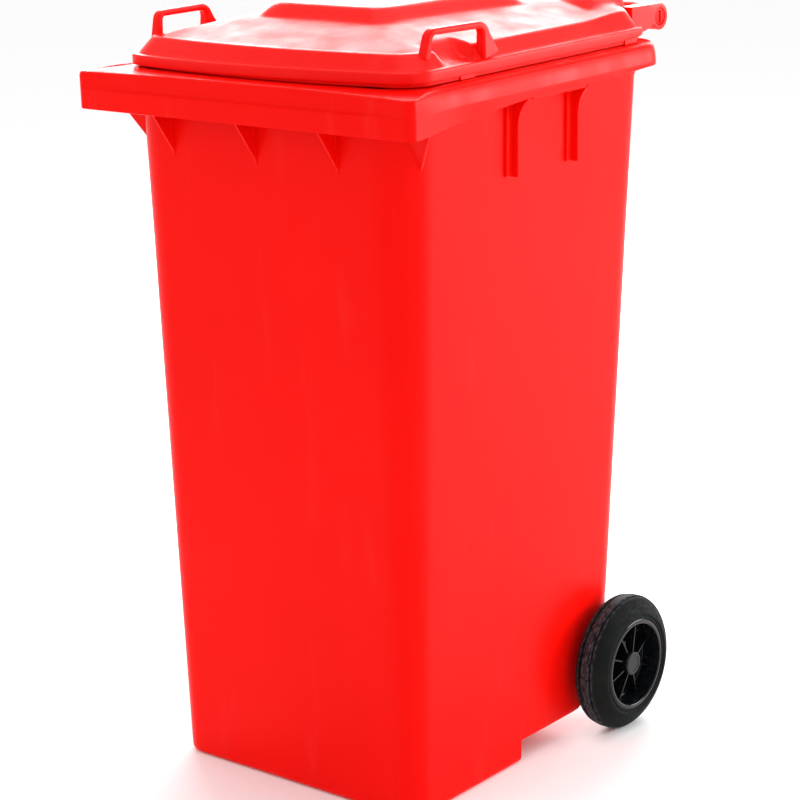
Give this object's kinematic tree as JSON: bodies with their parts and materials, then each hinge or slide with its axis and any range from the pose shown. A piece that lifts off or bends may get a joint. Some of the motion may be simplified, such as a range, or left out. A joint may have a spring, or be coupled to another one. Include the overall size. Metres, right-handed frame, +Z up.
{
  "type": "wheelie bin",
  "caption": "Tall wheeled refuse bin with a tapered body, a hinged domed lid, a rear handle bar, a comb lifting lip and clip-on rubber-tyred wheels on a steel axle.",
  "frame": {"origin": "on the floor, midway between the two sides and midway between the front lip and the back of the handle bar", "axes": "+Z up, the front lip faces -Y, the handle and wheels are at +Y, the axle and the lid hinge run along X with +X on the right seen from the front"},
  "size_m": [0.587, 0.7, 1.085],
  "materials": {
    "body_plastic": "satin moulded polyethylene",
    "lid_plastic": "satin moulded polyethylene",
    "pin_plastic": "satin moulded nylon",
    "axle_steel": "zinc plated",
    "rim_plastic": "glossy moulded polypropylene",
    "tyre_rubber": "scuffed solid rubber",
    "cap_plastic": "satin moulded plastic",
    "catch_plastic": "moulded nylon",
    "spring_steel": "spring wire",
    "washer_steel": "zinc plated"
  },
  "bodies": {
    "frame": {"body": "body_plastic", "hinge_pin_left": "pin_plastic", "hinge_pin_right": "pin_plastic", "axle": "axle_steel", "axle_washer_left": "washer_steel", "axle_washer_right": "washer_steel"},
    "lid": {"lid": "lid_plastic"},
    "wheel_left": {"wheel_rim_left": "rim_plastic", "tyre_left": "tyre_rubber", "hub_cap_left": "cap_plastic", "catch_spring_left": "spring_steel"},
    "wheel_right": {"wheel_rim_right": "rim_plastic", "tyre_right": "tyre_rubber", "hub_cap_right": "cap_plastic", "catch_spring_right": "spring_steel"},
    "catch_left": {"catch_pin_left": "catch_plastic"},
    "catch_right": {"catch_pin_right": "catch_plastic"}
  },
  "joints": [
    {"name": "lid_hinge", "type": "hinge", "parent": "frame", "child": "lid", "pos_m": [0, 0.312, 1.028], "axis": [-1, 0, 0], "range_deg": [0, 270]},
    {"name": "wheel_left_spin", "type": "hinge", "parent": "frame", "child": "wheel_left", "pos_m": [-0.26, 0.15097, 0.1], "axis": [1, 0, 0], "continuous": true},
    {"name": "wheel_right_spin", "type": "hinge", "parent": "frame", "child": "wheel_right", "pos_m": [0.26, 0.15097, 0.1], "axis": [1, 0, 0], "continuous": true},
    {"name": "catch_left_slide", "type": "slide", "parent": "wheel_left", "child": "catch_left", "axis": [0, 0, 1], "range_m": [0, 0.0025], "stiffness_N_per_m": 400, "springref_m": -0.004, "deforming": ["catch_spring_left"]},
    {"name": "catch_right_slide", "type": "slide", "parent": "wheel_right", "child": "catch_right", "axis": [0, 0, 1], "range_m": [0, 0.0025], "stiffness_N_per_m": 400, "springref_m": -0.004, "deforming": ["catch_spring_right"]}
  ]
}
